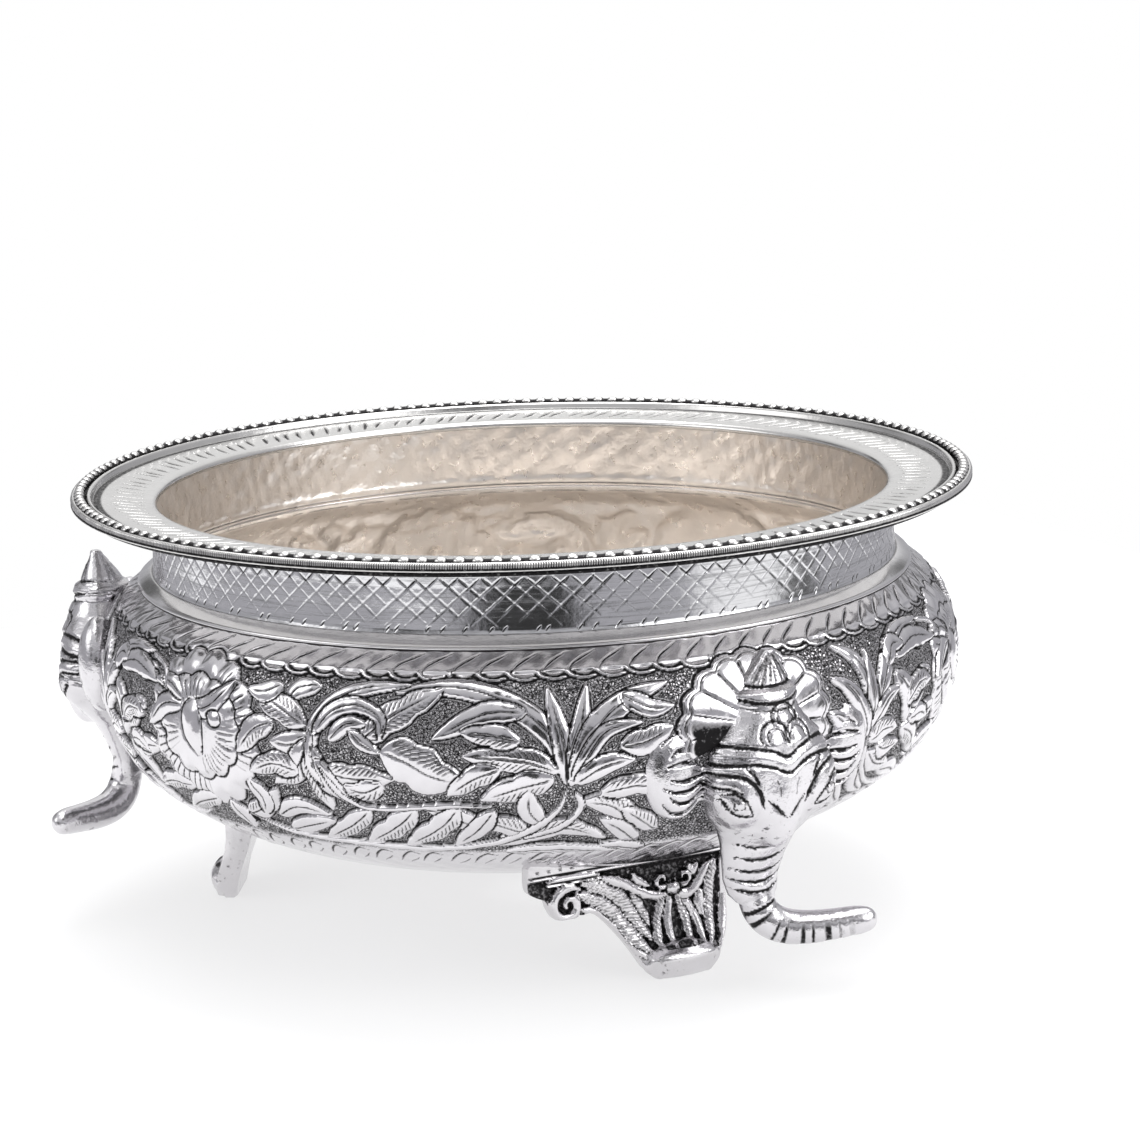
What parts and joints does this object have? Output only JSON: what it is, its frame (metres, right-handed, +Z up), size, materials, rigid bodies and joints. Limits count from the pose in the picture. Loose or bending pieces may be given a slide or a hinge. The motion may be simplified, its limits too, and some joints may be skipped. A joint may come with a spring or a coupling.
{
  "type": "footed urli bowl",
  "caption": "Wide round bowl with a beaded flat rim, a short upright neck, a deep embossed belly, elephant heads on the belly and scrolled bracket feet.",
  "frame": {"origin": "on the bowl's axis at table level, under the middle of the bowl", "axes": "+Z up out of the bowl's mouth, -Y towards the first foot, +X to the right of someone facing that foot"},
  "size_m": [0.3088, 0.309, 0.1497],
  "materials": {
    "belly": "silver plate over embossed sheet, dark oxidised recesses",
    "neck": "silver plate, engraved crosshatch",
    "ledge": "silver plate, polished",
    "flange": "silver plate, radial hatching with a polished inner edge",
    "lip": "silver plate, knurled edge",
    "beads": "silver plate, polished",
    "head": "silver-plated casting, dark oxidised grooves",
    "foot": "silver-plated casting, dark oxidised grooves"
  },
  "bodies": {
    "root": {"bowl_body": "belly", "neck_collar": "neck", "neck_moulding": "ledge", "rim_flange": "flange", "rim_lip": "lip", "rim_beads": "beads", "elephant_head_1": "head", "elephant_head_2": "head", "elephant_head_3": "head", "foot_1": "foot", "foot_2": "foot", "foot_3": "foot"}
  },
  "joints": []
}
